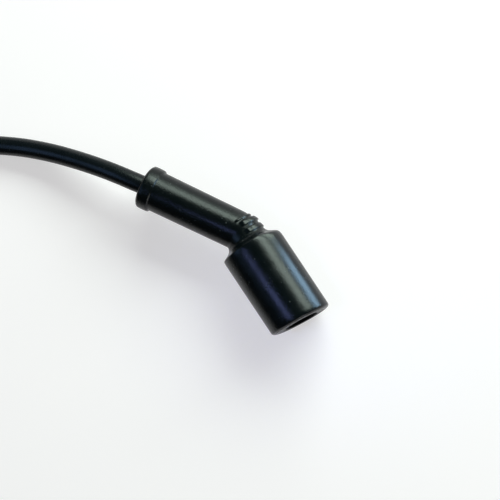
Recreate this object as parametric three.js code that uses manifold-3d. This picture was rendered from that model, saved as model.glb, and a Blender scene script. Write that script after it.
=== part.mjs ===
// Ignition lead: a silicone-jacketed cable with a bent coil boot at one end and a straight plug
// boot at the other. Millimetres, +Z up. The lead lies on the floor, and the origin is on the
// floor under the middle of the coil boot's bounding box.

import * as THREE from 'three';
import { mergeVertices } from 'three/addons/utils/BufferGeometryUtils.js';
import Module from 'manifold-3d';

const wasm = await Module();
wasm.setup();

// Directions on the floor, in degrees from +X
const MOUTH_HEADING = -55;
const BEND = 31;

// Cable
const CABLE_DIAMETER = 7;
const CABLE_SIDES = 12;
const CABLE_STEP = 8.5;

// Coil boot, measured from the elbow point where its two axes cross
const MOUTH_LENGTH = 39.3;
const MOUTH_RADIUS = 11.9;
const MOUTH_SLANT = 5.5;
const STUB_RADIUS = 7.6;
const SHOULDER_START = 2.7;
const SHOULDER_LENGTH = 4.2;
const COIL_SOCKET_RADIUS = 9.1;
const NECK_LENGTH = 41.4;
const NECK_RADIUS = 7.55;
const NECK_TAPER = 0.25;

// Finger ribs across the outside of the elbow, each with a thin one just before it. They stand
// on the outside only: their discs are set off from the axis.
const RIB_COUNT = 2;
const RIB_PITCH = 3.5;
const LAST_RIB_AT = 1.3;
const RIB = { width: 2.3, height: 0.65, offset: 1.3 };
const THIN_RIB = { width: 0.8, height: 0.35, offset: 0.6 };
const THIN_RIB_LEAD = 1.9;

// Collar round the cable end of both boots
const COLLAR_WIDTH = 4.9;
const COLLAR_RADIUS = 8.2;
const COLLAR_ROUND = 1.3;

// Plug boot, measured from the same point of its terminal
const PLUG_MOUTH_LENGTH = 44;
const PLUG_MOUTH_RADIUS = 10.2;
const PLUG_NECK_LENGTH = 34;
const PLUG_SHOULDER_START = 1;
const PLUG_SHOULDER_LENGTH = 6;
const PLUG_SOCKET_RADIUS = 5.6;

// Mouths
const LIP_ROUND = 1.2;
const LIP_CHAMFER = 0.7;
const SEAL_BEAD_HEIGHT = 0.5;
const SEAL_BEAD_WIDTH = 1.6;
const SEAL_BEAD_PITCH = 4.2;
const SOCKET_START = 17;

// Stamped terminal: barrel, strip and crimp from one sheet
const SHEET = 0.5;
const BARREL_RADIUS = 3.4;
const BARREL_START = 5;
const BARREL_LENGTH = 17;
const BARREL_SLOT = 0.9;
const STRIP_WIDTH = 3.4;
const CRIMP_START = 12;
const CRIMP_LENGTH = 10;
const CRIMP_SLOT = 1.2;
const CUT_END_INSET = 3;

// Snap spring round the barrel
const SPRING_WIRE_RADIUS = 0.35;
const SPRING_INSET = 2.6;
const SPRING_OPENING = 70;

// Conductor folded back under the crimp
const CORE_RADIUS = 0.5;
const CORE_TAIL_LENGTH = 5.5;

// Clearances and facets
const GAP = 0.3;
const BORE_PLAY = 0.45;
const SIDES = 40;
const SMALL_SIDES = 24;

// Sizes that follow from the others
const CABLE_RADIUS = CABLE_DIAMETER / 2;
const CABLE_BORE = CABLE_RADIUS + GAP;
const ELBOW_RADIUS = NECK_RADIUS - NECK_TAPER;
const BARREL_END = BARREL_START + BARREL_LENGTH;
const BARREL_BORE = Math.hypot(BARREL_RADIUS, STRIP_WIDTH / 2) + BORE_PLAY;
const CUT_END = CRIMP_START + CUT_END_INSET;
const TAIL_OFFSET = CABLE_RADIUS + GAP + CORE_RADIUS;
const CRIMP_FLOOR = TAIL_OFFSET + CORE_RADIUS + GAP;
const CRIMP_INNER = (CABLE_RADIUS + GAP + CRIMP_FLOOR) / 2;
const CRIMP_OFFSET = CRIMP_FLOOR - CRIMP_INNER;
const CRIMP_OUTER = CRIMP_INNER + SHEET;
const CRIMP_END = CRIMP_START + CRIMP_LENGTH;
const CRIMP_BORE = CRIMP_OUTER + BORE_PLAY;
const NECK_HEADING = MOUTH_HEADING + BEND;
const OVERRUN = 1;

const radians = THREE.MathUtils.degToRad;

// Colours and surfaces
const rubber = new THREE.MeshStandardMaterial({ color: 0x17191a, roughness: 0.45, metalness: 0 });
const jacket = new THREE.MeshStandardMaterial({ color: 0x1a1b1e, roughness: 0.38, metalness: 0 });
const steel = new THREE.MeshStandardMaterial({ color: 0xa8a9a6, roughness: 0.35, metalness: 1 });
const springSteel = new THREE.MeshStandardMaterial({ color: 0x8f9396, roughness: 0.3, metalness: 1 });
const conductor = new THREE.MeshStandardMaterial({ color: 0x3a3b3d, roughness: 0.6, metalness: 0 });

// Turns a closed three.js geometry into a solid
function solid(geometry) {
  const bare = geometry.clone();
  bare.deleteAttribute('normal');
  bare.deleteAttribute('uv');
  const merged = mergeVertices(bare, 1e-4);
  const index = merged.index.array;
  const triangles = [];
  for (let i = 0; i < index.length; i += 3) {
    const [a, b, c] = [index[i], index[i + 1], index[i + 2]];
    if (a !== b && b !== c && c !== a) {
      triangles.push(a, b, c);
    }
  }
  return new wasm.Manifold(new wasm.Mesh({
    numProp: 3,
    vertProperties: Float32Array.from(merged.attributes.position.array),
    triVerts: Uint32Array.from(triangles),
  }));
}

// Turns a solid back into a named mesh
function mesh(name, body, material) {
  const data = body.getMesh();
  const geometry = new THREE.BufferGeometry();
  geometry.setAttribute('position', new THREE.BufferAttribute(data.vertProperties, 3));
  geometry.setIndex(new THREE.BufferAttribute(data.triVerts, 1));
  geometry.computeVertexNormals();
  const item = new THREE.Mesh(geometry, material);
  item.name = name;
  return item;
}

function joined(bodies) {
  return bodies.reduce((whole, next) => whole.add(next));
}

// Revolve about local +X of [distance along the axis, radius] pairs, closed on the axis
function revolve(profile, sides = SIDES) {
  const first = profile[0];
  const last = profile[profile.length - 1];
  const outline = [[first[0], 0], ...profile, [last[0], 0]];
  const points = outline.map(([along, radius]) => new THREE.Vector2(radius, along));
  return solid(new THREE.LatheGeometry(points, sides).rotateZ(-Math.PI / 2));
}

function cylinder(from, to, radius, sides = SIDES) {
  return revolve([[from, radius], [to, radius]], sides);
}

// Bar of wire along a path, with a round section
function wire(path, radius, sides, steps) {
  const section = new THREE.Shape();
  for (let i = 0; i < sides; i += 1) {
    const angle = (i + 0.5) * 2 * Math.PI / sides;
    const [x, y] = [radius * Math.cos(angle), radius * Math.sin(angle)];
    if (i === 0) {
      section.moveTo(x, y);
    } else {
      section.lineTo(x, y);
    }
  }
  section.closePath();
  return solid(new THREE.ExtrudeGeometry(section, {
    extrudePath: path, steps, bevelEnabled: false, curveSegments: 1,
  }));
}

function turned(body, heading) {
  return body.rotate([0, 0, heading]);
}

// Points of one raised ring on a profile, with sloping sides
function ring(centre, width, base, height) {
  return [
    [centre - width / 2, base],
    [centre - width / 4, base + height],
    [centre + width / 4, base + height],
    [centre + width / 2, base],
  ];
}

// Soft step from a small radius up to a large one, as points of a profile: half a cosine wave
function shoulder(start, length, small, large) {
  return [0, 0.16, 0.32, 0.5, 0.68, 0.84, 1].map((t) => [
    start + length * t,
    small + (large - small) * (1 - Math.cos(Math.PI * t)) / 2,
  ]);
}

// Neck and collar along local +X, from the elbow point to the collar's end face
function neckBody(length, radiusAtCollar, radiusAtElbow) {
  const collarStart = length - COLLAR_WIDTH;
  return revolve([
    [0, radiusAtElbow],
    [collarStart - 0.5, radiusAtCollar],
    [collarStart + COLLAR_ROUND * 0.3, COLLAR_RADIUS - COLLAR_ROUND * 0.4],
    [collarStart + COLLAR_ROUND, COLLAR_RADIUS],
    [length - COLLAR_ROUND, COLLAR_RADIUS],
    [length - COLLAR_ROUND * 0.3, COLLAR_RADIUS - COLLAR_ROUND * 0.3],
    [length, COLLAR_RADIUS - COLLAR_ROUND],
  ]);
}

// Socket in a mouth, with its chamfered edge and two sealing beads, as a cutter
function socketCutter(mouth, radius) {
  const beads = [2, 1].flatMap((count) => ring(
    mouth - count * SEAL_BEAD_PITCH, SEAL_BEAD_WIDTH, radius, -SEAL_BEAD_HEIGHT));
  return revolve([
    [SOCKET_START, radius],
    ...beads,
    [mouth - LIP_CHAMFER, radius],
    [mouth, radius + LIP_CHAMFER],
    [mouth + OVERRUN, radius + LIP_CHAMFER],
  ]);
}

// Passage from the socket to the collar, bent by the given angle, as a cutter
function passage(neckLength, bend) {
  const towardsNeck = (body) => turned(body, 180 + bend);
  const side = new THREE.Vector2(0, CRIMP_OFFSET).rotateAround(new THREE.Vector2(), radians(bend));
  return joined([
    cylinder(-BARREL_BORE * Math.tan(radians(bend / 2)), SOCKET_START + OVERRUN, BARREL_BORE),
    towardsNeck(cylinder(0, CRIMP_START, BARREL_BORE)),
    towardsNeck(cylinder(CRIMP_START - 4, CRIMP_END + 2, CRIMP_BORE)).translate([-side.x, -side.y, 0]),
    towardsNeck(cylinder(CRIMP_START, neckLength + OVERRUN, CABLE_BORE)),
  ]);
}

// Terminal with its barrel along +X and its crimp bent back by the given angle
function terminalBody(bend) {
  const inner = BARREL_RADIUS - SHEET;
  const barrel = cylinder(BARREL_START, BARREL_END, BARREL_RADIUS, SMALL_SIDES)
    .subtract(revolve([
      [BARREL_START - OVERRUN, inner],
      [BARREL_END - 1.2, inner],
      [BARREL_END + OVERRUN, inner + 0.35],
    ], SMALL_SIDES))
    .subtract(block(BARREL_START - OVERRUN, BARREL_END + OVERRUN, 0, BARREL_RADIUS * 2, BARREL_SLOT));
  const crimp = cylinder(CRIMP_START, CRIMP_END, CRIMP_OUTER, SMALL_SIDES)
    .subtract(cylinder(CRIMP_START - OVERRUN, CRIMP_END + OVERRUN, CRIMP_INNER, SMALL_SIDES))
    .subtract(block(CRIMP_START - OVERRUN, CRIMP_END + OVERRUN, 0, -CRIMP_OUTER * 2, CRIMP_SLOT))
    .translate([0, CRIMP_OFFSET, 0]);
  return joined([barrel, stripBody(bend), turned(crimp, 180 + bend)]);
}

// Box between two distances along X and two along Y, centred on Z
function block(x0, x1, y0, y1, height) {
  return solid(new THREE.BoxGeometry(x1 - x0, Math.abs(y1 - y0), height)
    .translate((x0 + x1) / 2, (y0 + y1) / 2, 0));
}

// Strip that carries the crimp on the barrel: a bent band on the inner side of the elbow
function stripBody(bend) {
  const turn = radians(bend);
  const lap = 3;
  const alongMouth = (s, offset) => new THREE.Vector2(s, -offset);
  const alongNeck = (t, offset) => new THREE.Vector2(
    -t * Math.cos(turn) + offset * Math.sin(turn), -t * Math.sin(turn) - offset * Math.cos(turn));
  const mitre = (offset) => alongMouth(offset * Math.tan(turn / 2) * -1, offset);
  const [b0, b1] = [BARREL_RADIUS - SHEET, BARREL_RADIUS];
  const [c0, c1] = [CRIMP_FLOOR, CRIMP_FLOOR + SHEET];
  const outline = [
    alongMouth(BARREL_START + lap, b0), mitre(b0),
    alongNeck(CRIMP_START - 4.5, b0), alongNeck(CRIMP_START - 1, c0), alongNeck(CRIMP_START + lap, c0),
    alongNeck(CRIMP_START + lap, c1), alongNeck(CRIMP_START - 1.3, c1), alongNeck(CRIMP_START - 4.8, b1),
    mitre(b1), alongMouth(BARREL_START + lap, b1),
  ];
  return solid(new THREE.ExtrudeGeometry(new THREE.Shape(outline), {
    depth: STRIP_WIDTH, bevelEnabled: false,
  }).translate(0, 0, -STRIP_WIDTH / 2));
}

// Open ring of spring wire round the barrel
function springBody() {
  const radius = BARREL_RADIUS + GAP + SPRING_WIRE_RADIUS;
  const at = BARREL_END - SPRING_INSET;
  const points = [];
  const half = radians(180 - SPRING_OPENING / 2);
  for (let i = 0; i <= 24; i += 1) {
    const angle = -half + (2 * half * i) / 24;
    points.push(new THREE.Vector3(at, -radius * Math.cos(angle), radius * Math.sin(angle)));
  }
  return wire(new THREE.CatmullRomCurve3(points), SPRING_WIRE_RADIUS, 8, 30);
}

// Conductor out of the cable's cut end, folded back between the jacket and the crimp's floor.
// Local +X runs from the elbow point towards the collar.
function coreTailBody() {
  const bend = TAIL_OFFSET / 2;
  const points = [new THREE.Vector3(CUT_END - GAP, 0, 0)];
  for (let i = 0; i <= 8; i += 1) {
    const angle = Math.PI * i / 8;
    points.push(new THREE.Vector3(
      CUT_END - GAP - 0.4 - bend * Math.sin(angle) * 0.55, bend - bend * Math.cos(angle), 0));
  }
  points.push(new THREE.Vector3(CUT_END, TAIL_OFFSET, 0));
  points.push(new THREE.Vector3(CUT_END + CORE_TAIL_LENGTH, TAIL_OFFSET, 0));
  return wire(new THREE.CatmullRomCurve3(points), CORE_RADIUS, 8, 28);
}

// Slants the coil boot's mouth: the further from the socket's floor, the more the outside of the
// bend is drawn out and the inside drawn in
function slantMouth(body) {
  const slope = Math.tan(radians(MOUTH_SLANT));
  return body.warp((vertex) => {
    const share = (vertex[0] - SOCKET_START) / (MOUTH_LENGTH - SOCKET_START);
    vertex[0] += vertex[1] * slope * THREE.MathUtils.clamp(share, 0, 1);
  });
}

// Disc for one finger rib at a distance from the elbow point: it tops the elbow's ball by its
// height on the outside of the bend, and sinks into the boot towards the inside
function ribBody(at, { width, height, offset }) {
  const ball = Math.sqrt(ELBOW_RADIUS ** 2 - Math.min(at, 0) ** 2);
  return revolve(ring(at, width, ball - offset, height)).translate([0, offset, 0]);
}

// Coil boot: bent moulding round the elbow point
function coilBootBody() {
  const ribs = [];
  for (let i = 0; i < RIB_COUNT; i += 1) {
    const at = LAST_RIB_AT - i * RIB_PITCH;
    ribs.push(ribBody(at, RIB), ribBody(at - THIN_RIB_LEAD, THIN_RIB));
  }
  const mouth = revolve([
    [0, ELBOW_RADIUS],
    ...shoulder(SHOULDER_START, SHOULDER_LENGTH, STUB_RADIUS, MOUTH_RADIUS),
    [MOUTH_LENGTH - LIP_ROUND, MOUTH_RADIUS],
    [MOUTH_LENGTH - LIP_ROUND * 0.3, MOUTH_RADIUS - LIP_ROUND * 0.3],
    [MOUTH_LENGTH, MOUTH_RADIUS - LIP_ROUND],
  ]);
  const elbow = solid(new THREE.SphereGeometry(ELBOW_RADIUS, SIDES, SMALL_SIDES).rotateX(Math.PI / 2));
  const neck = turned(neckBody(NECK_LENGTH, NECK_RADIUS, ELBOW_RADIUS), 180 + BEND);
  return slantMouth(joined([mouth, elbow, neck, ...ribs])
    .subtract(passage(NECK_LENGTH, BEND))
    .subtract(socketCutter(MOUTH_LENGTH, COIL_SOCKET_RADIUS)));
}

// Plug boot: straight moulding, with the same collar and neck
function plugBootBody() {
  const neck = turned(neckBody(PLUG_NECK_LENGTH, NECK_RADIUS, NECK_RADIUS), 180);
  const mouth = revolve([
    [-OVERRUN, NECK_RADIUS],
    ...shoulder(PLUG_SHOULDER_START, PLUG_SHOULDER_LENGTH, NECK_RADIUS, PLUG_MOUTH_RADIUS),
    [PLUG_MOUTH_LENGTH - LIP_ROUND, PLUG_MOUTH_RADIUS],
    [PLUG_MOUTH_LENGTH - LIP_ROUND * 0.3, PLUG_MOUTH_RADIUS - LIP_ROUND * 0.3],
    [PLUG_MOUTH_LENGTH, PLUG_MOUTH_RADIUS - LIP_ROUND],
  ]);
  return joined([mouth, neck])
    .subtract(passage(PLUG_NECK_LENGTH, 0))
    .subtract(socketCutter(PLUG_MOUTH_LENGTH, PLUG_SOCKET_RADIUS));
}

// Everything in a boot but the boot itself, with the barrel along +X
function fittings(prefix, bend) {
  const towardsNeck = (body) => turned(body, 180 + bend);
  return [
    mesh(`${prefix}_terminal`, terminalBody(bend), steel),
    mesh(`${prefix}_snap_spring`, springBody(), springSteel),
    mesh(`${prefix}_core_tail`, towardsNeck(coreTailBody()), conductor),
  ];
}

// Cable route from the elbow point, as seen on the floor: [x, y, height of the centreline]
const ROUTE = [
  [-43.0, 18.85, 11.75],
  [-49.3, 21.2, 11.1],
  [-57.2, 23.7, 9.5],
  [-67.0, 26.3, 7.2],
  [-77.0, 28.5, 5.2],
  [-87.7, 30.15, 3.9],
  [-98.5, 30.95, 3.55],
  [-115.0, 31.2, 3.55],
  [-132.0, 29.5, 3.6],
  [-147.0, 26.9, 4.4],
  [-160.0, 24.1, 6.6],
  [-172.0, 21.3, 9.1],
  [-182.0, 18.9, 10.1],
];
const PLUG_HEADING = 180 + 13.5;

// Coil end: the elbow point stands over the floor by the mouth's radius
const coilEnd = new THREE.Group();
coilEnd.rotation.z = radians(MOUTH_HEADING);
coilEnd.position.z = MOUTH_RADIUS;
coilEnd.add(mesh('coil_boot', coilBootBody(), rubber), ...fittings('coil', BEND));

// Plug end: it lies on its mouth's radius, just past the end of the cable's route
const routeEnd = new THREE.Vector3(...ROUTE[ROUTE.length - 1]);
const plugAxis = new THREE.Vector3(Math.cos(radians(PLUG_HEADING)), Math.sin(radians(PLUG_HEADING)), 0);
const plugCentre = routeEnd.clone().addScaledVector(plugAxis, PLUG_NECK_LENGTH + 6);
const plugEnd = new THREE.Group();
plugEnd.rotation.z = radians(PLUG_HEADING);
plugEnd.position.set(plugCentre.x, plugCentre.y, PLUG_MOUTH_RADIUS);
plugEnd.add(mesh('plug_boot', plugBootBody(), rubber), ...fittings('plug', 0));

// Cable: straight inside each boot, along the route between them
const neckAxis = new THREE.Vector3(-Math.cos(radians(NECK_HEADING)), -Math.sin(radians(NECK_HEADING)), 0);
const coilCentre = new THREE.Vector3(0, 0, MOUTH_RADIUS);
const inCoilBoot = [CUT_END, CUT_END + 13, NECK_LENGTH - 1].map(
  (t) => coilCentre.clone().addScaledVector(neckAxis, t));
const inPlugBoot = [PLUG_NECK_LENGTH - 1, CUT_END + 7, CUT_END].map(
  (t) => plugEnd.position.clone().addScaledVector(plugAxis, -t));
const cablePath = new THREE.CatmullRomCurve3(
  [...inCoilBoot, ...ROUTE.map((point) => new THREE.Vector3(...point)), ...inPlugBoot]);
const cableSteps = Math.round(cablePath.getLength() / CABLE_STEP);
const cable = mesh('cable', wire(cablePath, CABLE_RADIUS, CABLE_SIDES, cableSteps), jacket);

// The whole lead, moved so that the coil boot's bounding box is centred on the origin
const lead = new THREE.Group();
lead.add(coilEnd, plugEnd, cable);
lead.updateMatrixWorld(true);
const coilBox = new THREE.Box3().setFromObject(coilEnd, true);
lead.position.set(
  -(coilBox.min.x + coilBox.max.x) / 2, -(coilBox.min.y + coilBox.max.y) / 2, -coilBox.min.z);
lead.updateMatrixWorld(true);

export default lead;
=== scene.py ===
import math

import bpy
import numpy as np
from bpy.props import FloatProperty, FloatVectorProperty, IntProperty, PointerProperty
from mathutils import Matrix, Vector


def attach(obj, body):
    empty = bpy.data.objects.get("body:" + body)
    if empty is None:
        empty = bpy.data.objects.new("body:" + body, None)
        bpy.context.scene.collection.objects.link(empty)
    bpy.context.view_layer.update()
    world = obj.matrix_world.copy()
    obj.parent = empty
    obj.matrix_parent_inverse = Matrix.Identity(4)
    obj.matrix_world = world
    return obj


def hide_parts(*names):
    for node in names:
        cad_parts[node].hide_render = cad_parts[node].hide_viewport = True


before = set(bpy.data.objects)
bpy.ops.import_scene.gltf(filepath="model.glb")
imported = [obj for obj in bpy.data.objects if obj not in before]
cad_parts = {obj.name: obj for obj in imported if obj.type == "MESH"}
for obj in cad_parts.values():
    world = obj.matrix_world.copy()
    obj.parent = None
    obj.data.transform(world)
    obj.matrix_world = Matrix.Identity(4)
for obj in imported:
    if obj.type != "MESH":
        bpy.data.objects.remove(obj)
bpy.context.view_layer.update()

bl_info = {
    "name": "Ignition lead",
    "version": (1, 0, 0),
    "blender": (4, 5, 0),
    "location": "View3D > Sidebar > Ignition lead",
    "description": "A silicone ignition lead with a bent coil boot and a straight plug boot",
    "category": "Add Mesh",
}

MM = 0.001

# Cable route seen from above: x, y and the height of its centreline, in metres, in the frame's axes.
# It runs from the crimp in the coil boot, through both collars, to the crimp in the plug boot.
ELBOW = np.array([4.113, 6.903, 11.9]) * MM
ROUTE = np.array([
    [-43.0, 18.85, 11.75],
    [-49.3, 21.2, 11.1],
    [-57.2, 23.7, 9.5],
    [-67.0, 26.3, 7.2],
    [-77.0, 28.5, 5.2],
    [-87.7, 30.15, 3.9],
    [-98.5, 30.95, 3.55],
    [-115.0, 31.2, 3.55],
    [-132.0, 29.5, 3.6],
    [-147.0, 26.9, 4.4],
    [-160.0, 24.1, 6.6],
    [-172.0, 21.3, 9.1],
    [-182.0, 18.9, 10.1],
]) * MM + ELBOW * np.array([1, 1, 0])


# ---------------------------------------------------------------------------
# sizes and colours
# ---------------------------------------------------------------------------

def length(name, description, default):
    """A size in metres, given in millimetres here."""
    return FloatProperty(
        name=name, description=description, default=default * MM, unit="LENGTH", precision=5)


def angle(name, description, default):
    """An angle in radians, given in degrees here."""
    return FloatProperty(
        name=name, description=description, default=math.radians(default), unit="ROTATION")


def share(name, description, default):
    """A number from 0 to 1."""
    return FloatProperty(name=name, description=description, default=default, min=0, max=1)


def colour(name, description, default):
    """A linear colour."""
    return FloatVectorProperty(
        name=name, description=description, default=default, subtype="COLOR", min=0, max=1)


class LeadSizes(bpy.types.PropertyGroup):
    """Sizes of the lead's pieces."""
    cable_diameter: length("Cable diameter", "Outside of the silicone jacket", 7.0)
    mouth_heading: angle("Mouth heading", "Way that the coil boot's mouth points, from +X", -55)
    bend: angle("Bend", "Angle between the coil boot's neck and its mouth", 31)
    mouth_length: length("Mouth length", "From the elbow point to the coil boot's mouth", 39.3)
    mouth_slant: angle(
        "Mouth slant", "How far the coil boot's mouth leans, longer on the outside of the bend", 5.5)
    lip_round: length("Lip rounding", "Rounding of a mouth's outer edge", 1.2)
    mouth_radius: length("Mouth radius", "Outside of the coil boot's mouth", 11.9)
    neck_length: length("Neck length", "From the elbow point to the end of the collar", 41.4)
    neck_radius: length("Neck radius", "Outside of the neck next to the collar", 7.55)
    neck_taper: length("Neck taper", "How much thinner the neck is at the elbow", 0.25)
    collar_radius: length("Collar radius", "Outside of the collar", 8.2)
    collar_width: length("Collar width", "Length of the collar along the neck", 4.9)
    coil_socket_radius: length("Coil socket radius", "Inside of the coil boot's mouth", 9.1)
    plug_mouth_length: length(
        "Plug mouth length", "From the terminal's middle to the plug boot's mouth", 44.0)
    plug_mouth_radius: length("Plug mouth radius", "Outside of the plug boot's mouth", 10.2)
    plug_neck_length: length(
        "Plug neck length", "From the terminal's middle to the end of the plug boot's collar", 34.0)
    plug_socket_radius: length("Plug socket radius", "Inside of the plug boot's mouth", 5.6)
    plug_heading: angle("Plug heading", "Way that the plug boot's mouth points, from +X", 193.5)
    barrel_radius: length("Barrel radius", "Outside of the terminal's barrel", 3.4)
    sheet: length("Sheet", "Thickness of the terminal's sheet", 0.5)
    round_steps: IntProperty(
        name="Steps round a boot", description="Number of points round each boot",
        default=144, min=24, max=360)


class LeadFinish(bpy.types.PropertyGroup):
    """Colours and surfaces of the lead's pieces."""
    silicone: colour("Boot silicone", "Black moulded silicone", (0.0012, 0.0026, 0.0031))
    jacket: colour("Cable jacket", "Black extruded silicone", (0.0018, 0.0034, 0.0048))
    dust: colour("Dust", "Fine dust on the silicone", (0.050, 0.056, 0.056))
    steel: colour("Terminal steel", "Stamped stainless sheet", (0.56, 0.55, 0.53))
    spring: colour("Spring steel", "Drawn spring wire", (0.44, 0.44, 0.45))
    core: colour("Core", "Coated suppression core", (0.030, 0.030, 0.032))
    floor: colour("Floor", "Pale floor", (0.56, 0.50, 0.53))
    silicone_roughness: share("Silicone roughness", "Mean roughness of the boots", 0.235)
    jacket_roughness: share("Jacket roughness", "Mean roughness of the cable", 0.28)


class LeadStudio(bpy.types.PropertyGroup):
    """Where the camera stands, and what it looks at."""
    azimuth: angle("Azimuth", "Where the camera stands, from +X", 10.23)
    elevation: angle("Elevation", "How high the camera stands", 73.03)
    roll: angle("Roll", "Turn of the camera about its line of sight", -99.83)
    distance: FloatProperty(
        name="Distance", description="From the camera to the lead", default=3.0, unit="LENGTH")
    lens: FloatProperty(name="Lens", description="Focal length in millimetres", default=585.0)
    aim_right: length("Aim right", "Middle of the view, to the right of the coil boot's elbow", 2.73)
    aim_up: length("Aim up", "Middle of the view, above the coil boot's elbow in the picture", -6.38)


def camera_turn(studio):
    """Matrix whose columns are the camera's right, up and backward directions."""
    flat, high = studio.azimuth, studio.elevation
    back = Vector((math.cos(high) * math.cos(flat), math.cos(high) * math.sin(flat), math.sin(high)))
    level = Vector((-math.sin(flat), math.cos(flat), 0))
    right = level * math.cos(studio.roll) + back.cross(level) * math.sin(studio.roll)
    return Matrix((right, back.cross(right), back)).transposed()


# ---------------------------------------------------------------------------
# shader maths
# ---------------------------------------------------------------------------

class Wire:
    """A node socket that takes part in Python expressions. Each operator adds one Math node."""

    def __init__(self, tree, socket):
        self.tree = tree
        self.socket = socket

    def _math(self, operation, *values, clamp=False):
        node = self.tree.nodes.new("ShaderNodeMath")
        node.operation = operation
        node.use_clamp = clamp
        for i, value in enumerate(values):
            if isinstance(value, Wire):
                self.tree.links.new(value.socket, node.inputs[i])
            else:
                node.inputs[i].default_value = value
        return Wire(self.tree, node.outputs[0])

    def __add__(self, other):
        return self._math("ADD", self, other)

    __radd__ = __add__

    def __sub__(self, other):
        return self._math("SUBTRACT", self, other)

    def __rsub__(self, other):
        return self._math("SUBTRACT", other, self)

    def __mul__(self, other):
        return self._math("MULTIPLY", self, other)

    __rmul__ = __mul__

    def clamped(self):
        """Kept between 0 and 1."""
        return self._math("ADD", self, 0.0, clamp=True)

    def above(self, low, high):
        """0 below low, 1 above high, straight between."""
        return ((self - low) * (1 / (high - low))).clamped()


class Paint:
    """A new material, with one method that adds any node."""

    def __init__(self, name):
        self.material = bpy.data.materials.new(name)
        self.material.use_nodes = True
        self.tree = self.material.node_tree
        self.tree.nodes.clear()

    def node(self, kind, settings=None, output=0, **values):
        """Adds a node of a type: its settings first, then its sockets' values or links. A socket goes by
        its name, with _ for a space, or by its number, as in i0."""
        node = self.tree.nodes.new("ShaderNode" + kind)
        for key, value in (settings or {}).items():
            setattr(node, key, value)
        for key, value in values.items():
            name = key.replace("_", " ")
            sockets = ([s for s in node.inputs if s.name == name and s.enabled]
                       or [node.inputs[int(key[1:])]])
            if isinstance(value, Wire):
                self.tree.links.new(value.socket, sockets[0])
            else:
                sockets[0].default_value = value
        return Wire(self.tree, node.outputs[output])

    def mix(self, factor, first, second):
        """Mixes two colours."""
        return self.node("Mix", {"data_type": "RGBA"}, output=2, Factor=factor,
                         A=rgba(first), B=rgba(second))

    def finish(self, shader):
        """Links the shader to the output and gives the material."""
        out = self.tree.nodes.new("ShaderNodeOutputMaterial")
        self.tree.links.new(shader.socket, out.inputs["Surface"])
        return self.material


def rgba(value):
    """A colour with its alpha, or a link as it is."""
    return value if isinstance(value, Wire) else (*tuple(value)[:3], 1.0)


# ---------------------------------------------------------------------------
# materials
# ---------------------------------------------------------------------------

# A little below real silicone's, so that the rims stay dark beside the pale floor
SILICONE_IOR = 1.3


def silicone(name, base, dust, roughness, grain, dustiness):
    """Black silicone: deep base colour, fine dust and specks, scuffed gloss and a fine grain.

    grain is the height of the moulded grain in metres, dustiness how much dust lies on the top.
    """
    paint = Paint(name)
    place = paint.node("TexCoord", output=3)
    cloud = paint.node("TexNoise", Vector=place, Scale=140.0, Detail=4.0, Roughness=0.6)
    fine = paint.node("TexNoise", Vector=place, Scale=1500.0, Detail=3.0, Roughness=0.7)
    scuff = paint.node("TexNoise", {"noise_dimensions": "3D"}, Vector=place, Scale=55.0, Detail=6.0,
                       Roughness=0.75, Distortion=1.2)
    speck = paint.node("TexVoronoi", {"feature": "F1"}, Vector=place, Scale=620.0, Randomness=1.0)
    pick = paint.node("TexNoise", Vector=place, Scale=310.0, Detail=0.0)
    film = fine.above(0.5, 0.78) * cloud.above(0.42, 0.68)
    dots = (1.0 - speck.above(0.10, 0.22)) * pick.above(0.60, 0.66)
    mask = (film * (0.16 * dustiness) + dots * (0.6 * dustiness)).clamped()
    tint = paint.mix(mask, base, dust)
    added = 0.13  # what clouds, grain and scuffs add, on average
    rough = (cloud * 0.10 + fine * 0.10 + scuff.above(0.45, 0.8) * 0.10 + (roughness - added)
             + mask * 0.25).clamped()
    height = fine * 1.2 + cloud * 1.2 + scuff * 0.5
    bump = paint.node("Bump", Strength=1.0, Distance=grain, Height=height)
    shader = paint.node("BsdfPrincipled", Base_Color=tint, Roughness=rough, Normal=bump,
                        IOR=SILICONE_IOR)
    return paint.finish(shader)


def metal(name, base, roughness, grain_scale):
    """Drawn or rolled steel: fine uneven gloss and faint stains."""
    paint = Paint(name)
    place = paint.node("TexCoord", output=3)
    fine = paint.node("TexNoise", Vector=place, Scale=grain_scale, Detail=3.0, Roughness=0.6)
    stain = paint.node("TexNoise", Vector=place, Scale=260.0, Detail=4.0, Roughness=0.6)
    tint = paint.mix(stain.above(0.5, 0.75) * 0.45, base, tuple(0.55 * c for c in tuple(base)[:3]))
    added = 0.14  # what grain and stains add, on average
    rough = (fine * 0.16 + stain * 0.12 + (roughness - added)).clamped()
    bump = paint.node("Bump", Strength=0.6, Distance=0.00002, Height=fine)
    shader = paint.node("BsdfPrincipled", Base_Color=tint, Roughness=rough, Normal=bump, Metallic=1.0)
    return paint.finish(shader)


def core_coat(name, base):
    """Coated core strands: matt, with fine lay."""
    paint = Paint(name)
    place = paint.node("TexCoord", output=3)
    fine = paint.node("TexNoise", Vector=place, Scale=2400.0, Detail=3.0)
    tint = paint.mix(fine.above(0.4, 0.7), base, tuple(2.0 * c for c in tuple(base)[:3]))
    bump = paint.node("Bump", Strength=0.8, Distance=0.00004, Height=fine)
    shader = paint.node("BsdfPrincipled", Base_Color=tint, Roughness=fine * 0.2 + 0.5, Normal=bump)
    return paint.finish(shader)


# Light that the floor adds where it is seen
FLOOR_GLOW = 0.54


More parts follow.
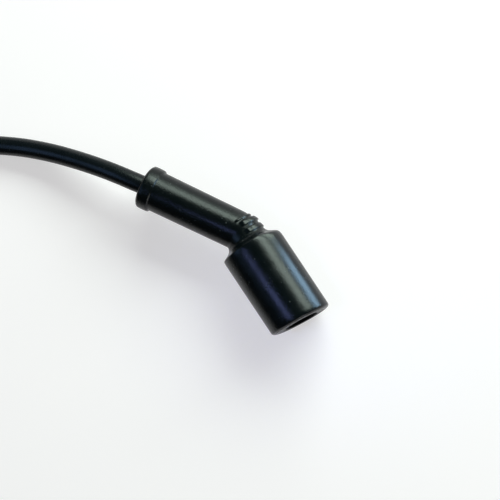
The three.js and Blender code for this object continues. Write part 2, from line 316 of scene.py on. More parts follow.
def floor_paint(name, base):
    """Pale floor: white where the camera, a reflection or a refraction sees it, and it keeps shadows."""
    paint = Paint(name)
    camera_glossy_transmission = (0, 3, 6)
    ray = [paint.node("LightPath", output=i) for i in camera_glossy_transmission]
    seen = (ray[0] + ray[1] + ray[2]).clamped()
    place = paint.node("TexCoord", output=3)
    fine = paint.node("TexNoise", Vector=place, Scale=60.0, Detail=3.0)
    tint = paint.mix(fine * 0.04, base, tuple(0.97 * c for c in tuple(base)[:3]))
    matt = paint.node("BsdfDiffuse", Color=tint)
    glow = paint.node("Emission", Color=(1.0, 1.0, 1.0, 1.0), Strength=seen * FLOOR_GLOW)
    return paint.finish(paint.node("AddShader", i0=matt, i1=glow))


# ---------------------------------------------------------------------------
# mesh helpers
# ---------------------------------------------------------------------------

def grid_mesh(name, rows, closed_along, material, replaced):
    """Mesh over a grid of points, rows x columns x 3. The columns close on themselves, and the rows too
    if closed_along. Open ends are closed by a fan round the mean of the end row."""
    count, sides = rows.shape[:2]
    index = np.arange(count * sides).reshape(count, sides)
    upper = np.roll(index, -1, axis=0) if closed_along else index[1:]
    lower = index if closed_along else index[:-1]
    quads = [lower, np.roll(lower, -1, axis=1), np.roll(upper, -1, axis=1), upper]
    faces = [np.stack(quads, axis=-1).reshape(-1, 4)]
    points = rows.reshape(-1, 3)
    if not closed_along:
        for end, order in ((0, -1), (count - 1, 1)):
            ring = index[end]
            centre = len(points)
            points = np.vstack([points, rows[end].mean(axis=0)])
            pair = np.stack([ring, np.roll(ring, -1)], axis=-1)[:, ::order]
            faces.append(np.column_stack([pair, np.full(sides, centre), np.full(sides, -1)]))
    return add_piece(name, points, faces, material, replaced)


def add_piece(name, points, faces, material, replaced):
    """Puts points and faces in a new object at the origin, on the lead's body. -1 marks a missing
    corner."""
    corners = np.concatenate([f.ravel() for f in faces])
    sizes = np.concatenate([(f >= 0).sum(axis=1) for f in faces])
    corners = corners[corners >= 0]
    starts = np.concatenate([[0], np.cumsum(sizes)[:-1]])
    mesh = bpy.data.meshes.new(name)
    mesh.vertices.add(len(points))
    mesh.vertices.foreach_set("co", np.ascontiguousarray(points, dtype=np.float32).ravel())
    mesh.loops.add(len(corners))
    mesh.loops.foreach_set("vertex_index", corners.astype(np.int32))
    mesh.polygons.add(len(starts))
    mesh.polygons.foreach_set("loop_start", starts.astype(np.int32))
    mesh.update(calc_edges=True)
    mesh.validate()
    mesh.polygons.foreach_set("use_smooth", np.ones(len(mesh.polygons), dtype=bool))
    mesh.materials.append(material)
    piece = bpy.data.objects.new(name, mesh)
    bpy.context.scene.collection.objects.link(piece)
    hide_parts(replaced)
    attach(piece, "root")
    return piece


def to_frame(points, heading, centre):
    """Turns points about Z by the heading and moves them to the centre."""
    c, s = math.cos(heading), math.sin(heading)
    turn = np.array([[c, s, 0], [-s, c, 0], [0, 0, 1]])
    return points @ turn + centre


def centripetal(points, samples):
    """Catmull-Rom curve through the points, with each knot step the square root of the chord."""
    pts = np.vstack([2 * points[0] - points[1], points, 2 * points[-1] - points[-2]])
    step = np.linalg.norm(np.diff(pts, axis=0), axis=1) ** 0.5
    knot = np.concatenate([[0], np.cumsum(step)])
    out = []
    for i in range(1, len(pts) - 2):
        t0, t1, t2, t3 = knot[i - 1:i + 3]
        p0, p1, p2, p3 = pts[i - 1:i + 3]
        t = np.linspace(t1, t2, samples, endpoint=i == len(pts) - 3)[:, None]
        a1 = (t1 - t) / (t1 - t0) * p0 + (t - t0) / (t1 - t0) * p1
        a2 = (t2 - t) / (t2 - t1) * p1 + (t - t1) / (t2 - t1) * p2
        a3 = (t3 - t) / (t3 - t2) * p2 + (t - t2) / (t3 - t2) * p3
        b1 = (t2 - t) / (t2 - t0) * a1 + (t - t0) / (t2 - t0) * a2
        b2 = (t3 - t) / (t3 - t1) * a2 + (t - t1) / (t3 - t1) * a3
        out.append((t2 - t) / (t2 - t1) * b1 + (t - t1) / (t2 - t1) * b2)
    return np.vstack(out)


def spaced(*knots):
    """Stations along an axis: (end, steps) pairs after the first value."""
    values = [np.array([knots[0]])]
    for end, steps in knots[1:]:
        values.append(np.linspace(values[-1][-1], end, steps + 1)[1:])
    return np.concatenate(values)


# ---------------------------------------------------------------------------
# boots, in millimetres: +X along the mouth, +Y to the outside of the bend, +Z up
# ---------------------------------------------------------------------------

# Radius of the arc that joins the axes of mouth and neck
ARC = 16.0
STRAIGHT = 1e-6  # bend of the plug boot, in radians

# Passage for the terminal and the cable, the same in both boots
SOCKET_START = 17.0
BORE = 4.25
CRIMP_START, CRIMP_END = 12.0, 22.0
CRIMP_BORE, CRIMP_OFFSET = 5.32, 0.625
CABLE_BORE = 3.8

# Socket: rounded edge of the mouth, sealing beads behind it, rounded corner of its floor
MOUTH_EDGE = 0.7
BEADS_AT, BEAD_HALF, BEAD_HEIGHT = (4.2, 8.4), 0.8, 0.5
FLOOR_CORNER = 0.6

COLLAR_EDGE = 1.3
SEAM_HEIGHT, SEAM_HALF = 0.05, 0.010  # the half width is a sine of the angle round the boot
END_SLOPE = 40.0  # how fast an arm's radius falls past its end
TINY = 0.002  # what keeps the first and last ring inside the rounded ends

# The skin is looked for between these distances from the axis, by this many halvings
SKIN_LEAST, SKIN_MOST, HALVINGS = 3.0, 14.0, 34


def bent_axis(u, bend):
    """Point and outward direction of the axis at station u: u > 0 towards the mouth, u < 0 towards the
    collar. Both straight parts meet in an arc of radius ARC that touches them."""
    reach = ARC * math.tan(bend / 2)
    sweep = ARC * bend
    lap = 2 * reach - sweep
    along = np.asarray(u, float)
    a = np.clip((along + reach - lap / 2) / max(sweep, 1e-9), 0, 1) - 1
    alpha = a * bend
    point = np.stack([reach + ARC * np.sin(alpha), -ARC + ARC * np.cos(alpha), 0 * alpha], axis=-1)
    past_mouth = np.maximum(along - reach + lap / 2, 0)
    past_neck = np.maximum(-along - reach + lap / 2, 0)
    point[..., 0] += past_mouth - past_neck * math.cos(bend)
    point[..., 1] -= past_neck * math.sin(bend)
    outward = np.stack([np.sin(alpha), np.cos(alpha), 0 * alpha], axis=-1)
    return point, outward


def soft_least(a, b, k):
    """Smaller of two values, with the corner between them rounded over k."""
    h = np.clip(0.5 + 0.5 * (b - a) / k, 0, 1)
    return b * (1 - h) + a * h - k * h * (1 - h)


def smooth_step(x, low, high):
    """0 below low, 1 above high, and 3 t^2 - 2 t^3 between, t being the share of the way."""
    t = np.clip((x - low) / (high - low), 0, 1)
    return t * t * (3 - 2 * t)


def bump(s, centre, half, height):
    """Flat-topped raised band: height x sqrt(1 - x^6) for x from -1 to 1 across the band."""
    x = np.clip((s - centre) / half, -1, 1)
    return height * np.sqrt(1 - x ** 6)


def outer_radius(points, outward, arm_turn, mouth_radius_at, neck_radius_at, blend):
    """Distance from the axis at which the joined skin of mouth and neck is crossed, by halving. The skin
    is where the softened least of (distance from the mouth's axis - its radius) and the same for the
    neck is 0."""
    low = np.full(outward.shape[:-1], SKIN_LEAST)
    high = np.full(outward.shape[:-1], SKIN_MOST)
    c, s = math.cos(arm_turn), math.sin(arm_turn)
    for _ in range(HALVINGS):
        middle = (low + high) / 2
        p = points + outward * middle[..., None]
        x, y, z = p[..., 0], p[..., 1], p[..., 2]
        mouth = np.hypot(y, z) - mouth_radius_at(x, y, z)
        t = -(x * c + y * s)
        neck = np.hypot(-x * s + y * c, z) - neck_radius_at(t)
        inside = soft_least(mouth, neck, blend) < 0
        low = np.where(inside, middle, low)
        high = np.where(inside, high, middle)
    return (low + high) / 2


def round_angles(steps):
    """Angles round a boot, closer together at the moulding seam on both sides of the bend plane."""
    even = np.linspace(0, 2 * np.pi, steps, endpoint=False)
    near = np.radians([-1.6, -1.1, -0.7, -0.35, 0.35, 0.7, 1.1, 1.6])
    return np.sort(np.concatenate([even, near % (2 * np.pi), near + np.pi]))


def seam(angles):
    """Height of the moulding seam at each angle: SEAM_HEIGHT x exp(-(sine / SEAM_HALF)^2), which peaks
    on the bend plane's two lines."""
    off = np.abs(np.sin(angles))
    return SEAM_HEIGHT * np.exp(-(off / SEAM_HALF) ** 2)


def boot_rows(sizes, bend, stations, mouth_at, neck_at, relief, blend, mouth, neck_end):
    """Closed grid of a boot: outer skin from the collar to the mouth, mouth face, socket and bore back to
    the collar. Each row is a ring round the bent axis, and the outer rings' radius is found on the
    joined skin. mouth is the mouth's distance, outer radius and inner radius."""
    m = 1 / MM
    end, radius, inside = mouth
    angles = round_angles(sizes.round_steps)

    def section(u):
        """Centre, outward direction and the spoke of each angle, at the stations u."""
        centre, out = bent_axis(u, bend)
        up = np.array([0.0, 0.0, 1.0])
        spread = np.cos(angles)[None, :, None] * out[:, None, :] + np.sin(angles)[None, :, None] * up
        return centre[:, None, :], out[:, None, :], spread

    def ring(u, radius, offset=0.0):
        """Points at a radius round the axis, set off towards the inside of the bend."""
        centre, out, spread = section(u)
        middle = centre - out * np.reshape(offset, (-1, 1, 1))
        return middle + spread * np.reshape(radius, (len(u), -1, 1))

    centre, _, spread = section(stations)
    skin = outer_radius(
        np.broadcast_to(centre, spread.shape), spread, bend, mouth_at, neck_at, blend)
    skin = skin + relief(centre + spread * skin[..., None]) + seam(angles)
    face = [[end, r] for r in np.linspace(radius - sizes.lip_round * m - 0.1, inside + 0.8, 5)]
    back = [[-neck_end, r] for r in np.linspace(CABLE_BORE + 0.1, sizes.collar_radius * m - 1.4, 6)]
    profiles = (face, socket_profile(end, inside), bore_profile(neck_end), back)
    return np.concatenate([centre + spread * skin[..., None]] + [ring(*np.array(p).T) for p in profiles])


def lip(s, end, edge):
    """What the rounded edge at an end takes off the radius at distance s: a quarter circle of radius
    edge, kept a little open so that its slope stays finite."""
    x = np.clip((s - (end - edge)) / edge, 0, 1)
    return edge * (1 - np.sqrt(1 - 0.999 * x ** 2))


def collar_profile(t, start, end, neck, collar):
    """Radius of neck and collar at distance t: the neck, a soft step, the collar's barrel-shaped band and
    its rounded end."""
    step = smooth_step(t, start - 0.45, start + 0.25)
    crown = 0.12 * (1 - ((t - (start + end) / 2) / ((end - start) / 2)) ** 2)
    return neck + (collar - neck) * step + np.maximum(crown, 0) * step - lip(t, end, COLLAR_EDGE)


def softened(stations, knots, width):
    """Profile through the knots, with its corners averaged over a bell-shaped window."""
    window = np.hanning(width)
    values = np.interp(stations, *np.array(knots, float).T)
    return np.convolve(np.pad(values, width // 2, mode="edge"), window / window.sum(), mode="valid")


def socket_profile(mouth, radius):
    """[distance, radius] pairs from a mouth's edge inwards: rounded edge, two sealing beads, floor."""
    floor = SOCKET_START
    edge = [[mouth - MOUTH_EDGE * (1 - math.cos(a)), radius + MOUTH_EDGE * (1 - math.sin(a))]
            for a in np.linspace(0, math.pi / 2, 6)]
    s = np.concatenate([np.linspace(mouth - 1.2, mouth - 11.5, 70),
                        np.linspace(mouth - 12.5, floor + FLOOR_CORNER, 8)])
    r = radius - sum(bump(s, mouth - at, BEAD_HALF, BEAD_HEIGHT) for at in BEADS_AT)
    corner = [[floor + FLOOR_CORNER * (1 - math.sin(a)), radius - FLOOR_CORNER * (1 - math.cos(a))]
              for a in np.linspace(0.3, math.pi / 2, 5)]
    ring_floor = [[floor, r_] for r_ in np.linspace(radius - 1.0, BORE + 0.4, 5)]
    return edge + np.column_stack([s, r]).tolist() + corner + ring_floor


def bore_profile(neck_end):
    """[station, radius, offset] triples of the passage from the socket's floor to the collar's end: plain
    for the terminal's strip, wider and set off for the crimp, then close round the cable."""
    steps = [[SOCKET_START - 0.4, BORE, 0.0]]
    steps += [[u, BORE, 0.0] for u in np.linspace(SOCKET_START - 1.5, -CRIMP_START + 4.6, 26)]
    steps += [[-CRIMP_START + 3.6, CRIMP_BORE, CRIMP_OFFSET]]
    steps += [[u, CRIMP_BORE, CRIMP_OFFSET] for u in np.linspace(-CRIMP_START + 3.0, -CRIMP_END - 1.6, 8)]
    steps += [[-CRIMP_END - 2.2, CABLE_BORE, 0.0]]
    steps += [[u, CABLE_BORE, 0.0] for u in np.linspace(-CRIMP_END - 3.0, -neck_end + 0.5, 6)]
    return steps


def boot_stations(neck_end, *middle, end, last):
    """Stations from a boot's collar to its mouth, close together at collar, ribs, shoulder and edge."""
    return spaced(
        -neck_end + TINY, (-neck_end + 1.4, 14), (-neck_end + 3.4, 8), (-neck_end + 5.8, 20),
        *middle, (end - 1.0, last), (end - TINY, 12))


# Skin of the coil boot along its mouth's axis: [distance, radius] knots of the stub, and of the shoulder
# on the inside of the bend (sharp) and on the outside (round), drawn for a mouth of MOUTH_DRAWN
MOUTH_DRAWN = 11.9
STUB = [(-8, -4), (-6.4, 4), (-5.2, 5.5), (-3.8, 6.2), (-2.6, 6.75), (-0.6, 7.0), (0.6, 7.3), (1.2, 7.45),
        (1.9, 7.6)]
SHARP_SHOULDER = [(2.6, 7.8), (3.2, 8.15), (3.7, 8.6), (4.2, 9.3), (4.7, 10.2), (5.2, 11.3), (5.35, 11.6),
                  (5.6, 11.76), (6.2, 11.86), (7, 11.9), (11, 11.9)]
ROUND_SHOULDER = [(2.6, 7.85), (3.15, 8.3), (3.6, 8.75), (4, 9.35), (4.45, 10.05), (4.85, 10.7),
                  (5.3, 11.25), (5.7, 11.55), (6.2, 11.74), (7, 11.86), (8, 11.9), (11, 11.9)]


def coil_boot_rows(sizes):
    """Bent boot. The mouth's profile has the ribbed stub, the shoulder and the rounded mouth. The ribs and
    the rounder shoulder are on the outside of the bend, where outer, the cosine of the angle round the
    axis, is near 1. The mouth's end is then sheared by the mouth's slant."""
    m = 1 / MM
    radius, end = sizes.mouth_radius * m, sizes.mouth_length * m
    neck_end, neck, taper = sizes.neck_length * m, sizes.neck_radius * m, sizes.neck_taper * m
    collar, width = sizes.collar_radius * m, sizes.collar_width * m
    edge = sizes.lip_round * m
    fine = np.linspace(-8, 11, 761)
    sharp = softened(fine, STUB + SHARP_SHOULDER, 13)
    round_ = softened(fine, STUB + ROUND_SHOULDER, 23)
    wider = radius - MOUTH_DRAWN

    def mouth_at(x, y, z):
        """Radius of the mouth's arm at distance x, on the side where the point lies."""
        outer = y / np.maximum(np.hypot(y, z), 1e-6)
        to_round = smooth_step(outer, 0.45, 1.0)
        r = (np.interp(x, fine, sharp) * (1 - to_round)
             + np.interp(x - 1.2 * to_round, fine, round_) * to_round)
        ribs = (bump(x, -1.95, 1.16, 0.62 + 0.4 * smooth_step(outer, 0.55, 0.95))
                + bump(x, 1.3, 1.06, 0.68))
        r = r + ribs * smooth_step(outer, 0.36, 0.58) + wider * smooth_step(x, 3.5, 5.5)
        return r - lip(x, end, edge) - END_SLOPE * np.maximum(x - end, 0)

    def neck_at(t):
        """Radius of the neck's arm at distance t: a ball before the elbow point, then neck and collar."""
        less = 0.25  # how much thinner the neck gets again at the elbow, inside the stub
        thin = taper * np.clip(1 - t / 38, 0, 1) + less * smooth_step(-t, -3.5, 0)
        body = collar_profile(t, neck_end - width, neck_end, neck - thin, collar)
        ball = neck - taper - less
        cap = np.sqrt(np.maximum(ball ** 2 - np.minimum(t, 0) ** 2, 0)) - np.maximum(-t - ball, 0)
        return np.where(t < 0, cap, body) - END_SLOPE * np.maximum(t - neck_end, 0)

    def thin_ribs(p):
        """Height of the thin ribs at a point of the joined skin."""
        x, outer = p[..., 0], p[..., 1] / np.hypot(p[..., 1], p[..., 2])
        first = bump(x, -4.1, 0.40, 0.40)
        second = bump(x, -0.38, 0.25, 0.34) * (1 - smooth_step(outer, 0.75, 0.95))
        return (first + second) * smooth_step(outer, 0.22, 0.42)

    stations = boot_stations(neck_end, (-8, 26), (3.4, 110), (6.8, 44), (11, 24), end=end, last=22)
    mouth = (end, radius, sizes.coil_socket_radius * m)
    rows = boot_rows(sizes, sizes.bend, stations, mouth_at, neck_at, thin_ribs, 0.45, mouth, neck_end)
    share_of_mouth = np.clip((rows[..., 0] - SOCKET_START) / (end - SOCKET_START), 0, 1)
    rows[..., 0] += rows[..., 1] * math.tan(sizes.mouth_slant) * share_of_mouth
    return rows


def plug_boot_rows(sizes):
    """Straight boot, with the same neck and collar and a softly stepped mouth."""
    m = 1 / MM
    radius, end = sizes.plug_mouth_radius * m, sizes.plug_mouth_length * m
    neck_end, neck = sizes.plug_neck_length * m, sizes.neck_radius * m
    collar, width = sizes.collar_radius * m, sizes.collar_width * m
    edge = sizes.lip_round * m
    lap, gone = -2, 1.0  # past this distance on the other arm's side, an arm is this thin

    def mouth_at(x, _y, _z):
        """Radius of the mouth's arm at distance x."""
        r = neck + (radius - neck) * smooth_step(x, 1.0, 7.0)
        return np.where(x < lap, gone, r) - lip(x, end, edge) - END_SLOPE * np.maximum(x - end, 0)

    def neck_at(t):
        """Radius of the neck's arm at distance t."""
        body = collar_profile(t, neck_end - width, neck_end, neck, collar)
        return np.where(t < lap, gone, body) - END_SLOPE * np.maximum(t - neck_end, 0)

    stations = boot_stations(neck_end, (0, 24), (8, 44), end=end, last=30)
    mouth = (end, radius, sizes.plug_socket_radius * m)
    return boot_rows(sizes, STRAIGHT, stations, mouth_at, neck_at, lambda p: 0.0, 0.02, mouth, neck_end)


# ---------------------------------------------------------------------------
# what is inside a boot, in millimetres, in the same axes
# ---------------------------------------------------------------------------

def terminal_rows(bend, radius, sheet):
    """One stamped sheet rolled along the bent axis: at each station an arc of some radius and half-angle
    about the floor line, thickened to both sides. Wide open at the strip, nearly closed at barrel and
    crimp. The knots hold the arc's middle radius, its half-angle and the floor line's distance."""
    b = radius - sheet / 2  # middle radius of the barrel
    flared = b + 0.27  # and of its rim
    u = spaced(-22.0, (-21.4, 3), (-12.6, 16), (-8.0, 14), (5.0, 26), (9.0, 14), (20.6, 20), (22.0, 8))
    knots = np.array([-22.0, -21.6, -12.8, -10.5, -8.5, 4.8, 7.0, 9.0, 20.6, 22.0])
    mid = np.array([4.75, 4.675, 4.675, 4.3, 3.5, b, b, b, b, flared])
    half = np.radians([164, 164, 164, 60, 31, 31, 80, 172, 172, 172])
    floor = np.array([5.3, 5.3, 5.3, 4.7, b, b, b, b, b, flared])
    mid, half, floor = (np.interp(u, knots, values) for values in (mid, half, floor))
    centre, out = bent_axis(u, bend)
    turn = np.linspace(-1, 1, 61)[None, :] * half[:, None]
    up = np.array([0.0, 0.0, 1.0])
    middle = centre - out * (floor - mid)[:, None]

    def arc(r):
        """Points of one face of the sheet, at the radius r of each station."""
        return middle[:, None, :] + r[:, None, None] * (
            -np.cos(turn)[..., None] * out[:, None, :] + np.sin(turn)[..., None] * up)

    outer = arc(mid + sheet / 2)
    inner = arc(mid - sheet / 2)
    return np.concatenate([outer, inner[:, ::-1]], axis=1)


def sheet_faces(rows):
    """Faces of a thickened sheet, all pointing outwards: the loop's sides, and quads across both ends."""
    count, loop = rows.shape[:2]
    index = np.arange(count * loop).reshape(count, loop)
    near, far = index[:-1], index[1:]
    sides = np.stack([far, np.roll(far, -1, axis=1), np.roll(near, -1, axis=1), near], axis=-1)
    k = np.arange(loop // 2 - 1)

    def cap(row):
        """Quads across the sheet's edge at one end."""
        return np.stack([row[k], row[loop - 1 - k], row[loop - 2 - k], row[k + 1]], axis=-1)

    return [sides.reshape(-1, 4), cap(index[0])[:, ::-1], cap(index[-1])]


def tube_rows(path, across, radius, sides):
    """Rings of a round wire along a path that stays in the plane with the normal across."""
    tangent = np.gradient(path, axis=0)
    tangent /= np.linalg.norm(tangent, axis=1)[:, None]
    side = np.cross(across, tangent)
    a = np.linspace(0, 2 * np.pi, sides, endpoint=False)
    round_ = np.cos(a)[None, :, None] * side[:, None, :] + np.sin(a)[None, :, None] * across
    return path[:, None, :] + radius * round_


# Snap spring: its station, the ring's radius, the wire's radius and half the ring's arc in degrees
SPRING_AT, SPRING_RADIUS, SPRING_WIRE, SPRING_REACH = 19.4, 4.05, 0.35, 145


def spring_rows():
    """Open ring of spring wire round the barrel, with its opening on the side of the slot."""
    a = np.radians(np.linspace(-SPRING_REACH, SPRING_REACH, 90))
    path = np.stack([np.full_like(a, SPRING_AT), -SPRING_RADIUS * np.cos(a), SPRING_RADIUS * np.sin(a)],
                    axis=-1)
    return tube_rows(path, np.array([1.0, 0.0, 0.0]), SPRING_WIRE, 16)


# Core: its radius, and its distance from the cable's axis where it lies on the jacket
CORE_RADIUS, CORE_LIES_AT = 0.5, 4.3


def tail_rows(bend):
    """Core out of the cable's cut end, turned back in a half round and laid along the jacket."""
    a = np.linspace(0, math.pi, 26)
    half = CORE_LIES_AT / 2
    loop = np.stack([14.3 - 1.15 * np.sin(a), half - half * np.cos(a)], axis=-1)
    laid = np.stack([np.linspace(14.9, 20.5, 12), np.full(12, CORE_LIES_AT)], axis=-1)
    x, y = np.concatenate([[[14.7, 0.0]], loop, laid]).T
    c, s = math.cos(math.pi + bend), math.sin(math.pi + bend)
    path = np.stack([x * c - y * s, x * s + y * c, 0 * x], axis=-1)
    return tube_rows(path, np.array([0.0, 0.0, 1.0]), CORE_RADIUS, 14)


# ---------------------------------------------------------------------------
# operators
# ---------------------------------------------------------------------------

# From the route's last point to the plug boot's collar, and how far from each boot's own point, in
# millimetres along its neck, the cable runs between cut end and collar
ROUTE_TO_COLLAR = 6 * MM
IN_COIL_BOOT = (15.0, 28.0, 40.4)
IN_PLUG_BOOT = (33.0, 22.0, 15.0)
CABLE_STEPS = 9  # points of the cable between two knots

MATERIALS = {}


def direction(heading):
    """Level unit vector of a heading."""
    return np.array([math.cos(heading), math.sin(heading), 0])


def coil_place(sizes):
    """Heading and centre of the coil boot."""
    return sizes.mouth_heading, ELBOW


def plug_place(sizes):
    """Heading and centre of the plug boot, which lies on the floor."""
    reach = sizes.plug_neck_length + ROUTE_TO_COLLAR
    x, y, _ = ROUTE[-1] + direction(sizes.plug_heading) * reach
    return sizes.plug_heading, np.array([x, y, sizes.plug_mouth_radius])


def finish_of(key, finish):
    """Material of a finish, made once."""
    makers = {
        "boot": lambda: silicone("boot_silicone", finish.silicone, finish.dust,
                                 finish.silicone_roughness, grain=0.00006, dustiness=1.0),
        "jacket": lambda: silicone("cable_jacket", finish.jacket, finish.dust,
                                   finish.jacket_roughness, grain=0.00003, dustiness=0.5),
        "steel": lambda: metal("terminal_steel", finish.steel, 0.32, 1800.0),
        "spring": lambda: metal("spring_steel", finish.spring, 0.28, 2600.0),
        "core": lambda: core_coat("core", finish.core),
    }
    if key not in MATERIALS:
        MATERIALS[key] = makers[key]()
    return MATERIALS[key]


class LEAD_OT_camera(bpy.types.Operator):
    """Puts the camera at the photograph's viewing angle"""
    bl_idname = "lead.camera"
    bl_label = "Camera"

    def execute(self, context):
        studio = context.scene.lead_studio
        data = bpy.data.cameras.new("camera")
        data.sensor_width = 36.0
        data.lens = studio.lens
        turn = camera_turn(studio)
        aim = Vector(ELBOW) + turn @ Vector((studio.aim_right, studio.aim_up, 0))
        camera = bpy.data.objects.new("camera", data)
        camera.matrix_world = Matrix.Translation(aim + turn.col[2] * studio.distance) @ turn.to_4x4()
        context.scene.collection.objects.link(camera)
        context.scene.camera = camera
        return {"FINISHED"}


class LEAD_OT_cable(bpy.types.Operator):
    """Adds the cable, a round tube along its route from crimp to crimp"""
    bl_idname = "lead.cable"
    bl_label = "Cable"

    def execute(self, context):
        sizes, finish = context.scene.lead_sizes, context.scene.lead_finish
        heading, elbow = coil_place(sizes)
        neck_axis = direction(heading + sizes.bend + math.pi)
        plug_heading, plug = plug_place(sizes)
        plug_axis = direction(plug_heading)
        near = [elbow + neck_axis * t * MM for t in IN_COIL_BOOT]
        far = [plug - plug_axis * t * MM for t in IN_PLUG_BOOT]
        path = centripetal(np.vstack([near, ROUTE, far]), CABLE_STEPS)
        curve = bpy.data.curves.new("cable", "CURVE")
        curve.dimensions = "3D"
        curve.bevel_depth = sizes.cable_diameter / 2
        curve.bevel_resolution = 10
        curve.use_fill_caps = True
        spline = curve.splines.new("POLY")
        spline.points.add(len(path) - 1)
        spline.points.foreach_set("co", np.column_stack([path, np.ones(len(path))]).ravel())
        curve.materials.append(finish_of("jacket", finish))
        piece = bpy.data.objects.new("silicone_cable", curve)
        context.scene.collection.objects.link(piece)
        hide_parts("cable")
        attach(piece, "root")
        return {"FINISHED"}


class LEAD_OT_boots(bpy.types.Operator):
    """Adds the bent coil boot and the straight plug boot"""
    bl_idname = "lead.boots"
    bl_label = "Boots"

    def execute(self, context):
        sizes, finish = context.scene.lead_sizes, context.scene.lead_finish
        for name, rows, (heading, centre), node in (
                ("bent_boot", coil_boot_rows(sizes), coil_place(sizes), "coil_boot"),
                ("straight_boot", plug_boot_rows(sizes), plug_place(sizes), "plug_boot")):
            points = to_frame(rows * MM, heading, centre)
            grid_mesh(name, points, True, finish_of("boot", finish), node)
        return {"FINISHED"}


class LEAD_OT_fittings(bpy.types.Operator):
    """Adds the terminal, snap spring and folded core in each boot"""
    bl_idname = "lead.fittings"
    bl_label = "Terminals, springs and cores"

    def execute(self, context):
        sizes, finish = context.scene.lead_sizes, context.scene.lead_finish
        for end, bend, (heading, centre) in (
                ("coil", sizes.bend, coil_place(sizes)), ("plug", STRAIGHT, plug_place(sizes))):
            sheet, spring, tail = (
                to_frame(rows * MM, heading, centre) for rows in (
                    terminal_rows(bend, sizes.barrel_radius / MM, sizes.sheet / MM),
                    spring_rows(), tail_rows(bend)))
            add_piece(
                end + "_socket", sheet.reshape(-1, 3), sheet_faces(sheet), finish_of("steel", finish),
                end + "_terminal")
            grid_mesh(
                end + "_spring", spring, False, finish_of("spring", finish),
                end + "_snap_spring")
            grid_mesh(
                end + "_core", tail, False, finish_of("core", finish), end + "_core_tail")
        return {"FINISHED"}


class LEAD_OT_stage(bpy.types.Operator):
    """Adds the pale floor and the soft lamps"""
    bl_idname = "lead.stage"
    bl_label = "Floor and lamps"

    def execute(self, context):
        scene = context.scene
        turn = camera_turn(scene.lead_studio)
        mesh = bpy.data.meshes.new("floor")
        corners = [(x * FLOOR_HALF, y * FLOOR_HALF, 0) for x, y in ((-1, -1), (1, -1), (1, 1), (-1, 1))]
        mesh.from_pydata(corners, [], [(0, 1, 2, 3)])
        mesh.materials.append(floor_paint("floor", scene.lead_finish.floor))
        floor = bpy.data.objects.new("floor", mesh)
        floor.location.z = -FLOOR_DROP
        scene.collection.objects.link(floor)
        world = bpy.data.worlds.new("studio")
        scene.world = world
        world.use_nodes = True
        background = world.node_tree.nodes["Background"].inputs
        background["Color"].default_value = (*WORLD_COLOUR, 1.0)
        background["Strength"].default_value = WORLD_STRENGTH
        for name, distance, towards, long_way, wide, high, radiance, tint, aim, spread in LAMPS:
            place = Vector(ELBOW) + (turn @ Vector(towards)).normalized() * distance
            back = (place - Vector(ELBOW) - Vector(aim) * MM).normalized()
            side = turn @ Vector(long_way)
            side = (side - back * side.dot(back)).normalized()
            light = bpy.data.lights.new(name, "AREA")
            light.shape = "RECTANGLE"
            light.size = 2 * distance * math.tan(math.radians(wide / 2))
            light.size_y = 2 * distance * math.tan(math.radians(high / 2))
            light.energy = radiance * math.pi * light.size * light.size_y
            light.color = tint
            light.spread = math.radians(spread)
            lamp = bpy.data.objects.new(name, light)
            lamp.matrix_world = (Matrix.Translation(place)
                                 @ Matrix((side, back.cross(side), back)).transposed().to_4x4())
            lamp.visible_glossy = name != "fill"
            lamp.visible_camera = False
            lamp.visible_diffuse = not name.endswith("card")
            scene.collection.objects.link(lamp)
        scene.view_settings.view_transform = "Standard"
        return {"FINISHED"}


class LEAD_PT_panel(bpy.types.Panel):
    """Lists the lead's operators and sizes"""
    bl_label = "Ignition lead"
    bl_idname = "LEAD_PT_panel"
    bl_space_type = "VIEW_3D"
    bl_region_type = "UI"
    bl_category = "Ignition lead"

    def draw(self, context):
        for operator in OPERATORS:
            self.layout.operator(operator.bl_idname)
        for group in (context.scene.lead_sizes, context.scene.lead_finish, context.scene.lead_studio):
            for name in type(group).__annotations__:
                self.layout.prop(group, name)


OPERATORS = (LEAD_OT_camera, LEAD_OT_cable, LEAD_OT_boots, LEAD_OT_fittings, LEAD_OT_stage)
CLASSES = (LeadSizes, LeadFinish, LeadStudio, *OPERATORS, LEAD_PT_panel)

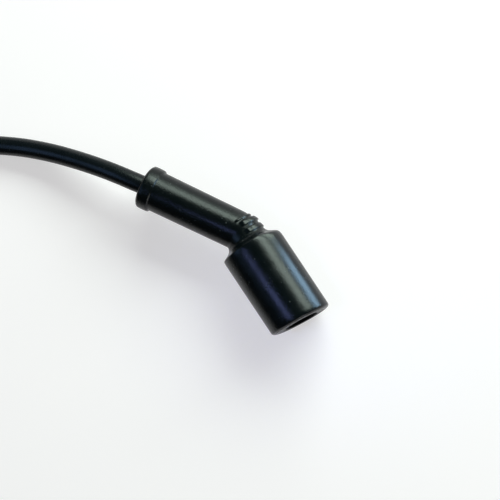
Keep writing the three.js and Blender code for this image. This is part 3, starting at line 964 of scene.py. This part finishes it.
# Lamps. First line: name, distance from the elbow in metres, then the direction from the elbow and the
# lamp's long side, both as the camera sees them (right, up, backward). Second line: angles across as
# seen from the elbow, in degrees, radiance, tint, the point that it faces, in millimetres from the
# elbow in the frame's axes, and the beam's spread in degrees. The key and the high window make the
# green-grey streaks on mouth and neck, the side lamp the violet one, and the front lamp lights the
# mouth's face. The cards stand close by and show only in reflections. The fill lights evenly and
# shows in none.
LAMPS = (
    ("key", 0.9, (0.29, 0.725, 0.62), (-0.567, 0.315, -0.077),
     50, 27, 13.2, (0.83, 1.0, 0.90), (0, 0, 0), 180),
    ("high_window", 0.9, (0.153, 0.958, 0.243), (0.96, -0.15, 0.0),
     26, 16, 3.4, (0.83, 1.0, 0.90), (0, 0, 0), 180),
    ("blue_card", 0.070, (0.942, 0.185, 0.280), (0.550, -0.826, 0.122),
     30, 31, 18.0, (0.45, 0.73, 1.0), (44, -3, 51), 180),
    ("rib_card", 0.0684, (0.603, 0.757, 0.251), (0.550, -0.826, 0.122),
     33, 39, 10.0, (0.80, 1.0, 0.88), (19, 35, 54), 180),
    ("side", 0.259, (-0.468, -0.207, 0.859), (-0.83, 0.0365, -0.5565),
     20, 9.5, 0.31, (0.34, 0.43, 1.0), (21, -30, 5), 25),
    ("cable_card", 0.341, (-0.878, 0.010, 0.478), (0.958, -0.014, 0.287),
     18, 33, 2.1, (0.33, 0.55, 1.0), (-72, 26, -7), 180),
    ("front", 0.9, (0.542, -0.815, 0.20), (0.83, 0.55, 0.0),
     20, 8, 8.0, (0.94, 1.0, 0.98), (0, 0, 0), 180),
    ("fill", 0.9, (-0.278, -0.064, 0.958), (1.0, 0.0, 0.3),
     80, 80, 0.12, (1.0, 1.0, 1.0), (0, 0, 0), 180),
)
WORLD_COLOUR = (0.9, 0.98, 1.0)
WORLD_STRENGTH = 0.06

# The floor lies a hair below the lead, so that nothing touches it
FLOOR_HALF = 3.0
FLOOR_DROP = 0.0002


def register():
    """Adds the properties, operators and panel."""
    for item in CLASSES:
        bpy.utils.register_class(item)
    bpy.types.Scene.lead_sizes = PointerProperty(type=LeadSizes)
    bpy.types.Scene.lead_finish = PointerProperty(type=LeadFinish)
    bpy.types.Scene.lead_studio = PointerProperty(type=LeadStudio)


def unregister():
    """Takes them away again."""
    del bpy.types.Scene.lead_studio
    del bpy.types.Scene.lead_finish
    del bpy.types.Scene.lead_sizes
    for item in reversed(CLASSES):
        bpy.utils.unregister_class(item)


def main():
    register()
    bpy.ops.lead.camera()
    bpy.ops.lead.cable()
    bpy.ops.lead.boots()
    bpy.ops.lead.fittings()
    bpy.ops.lead.stage()


if __name__ == "__main__":
    main()
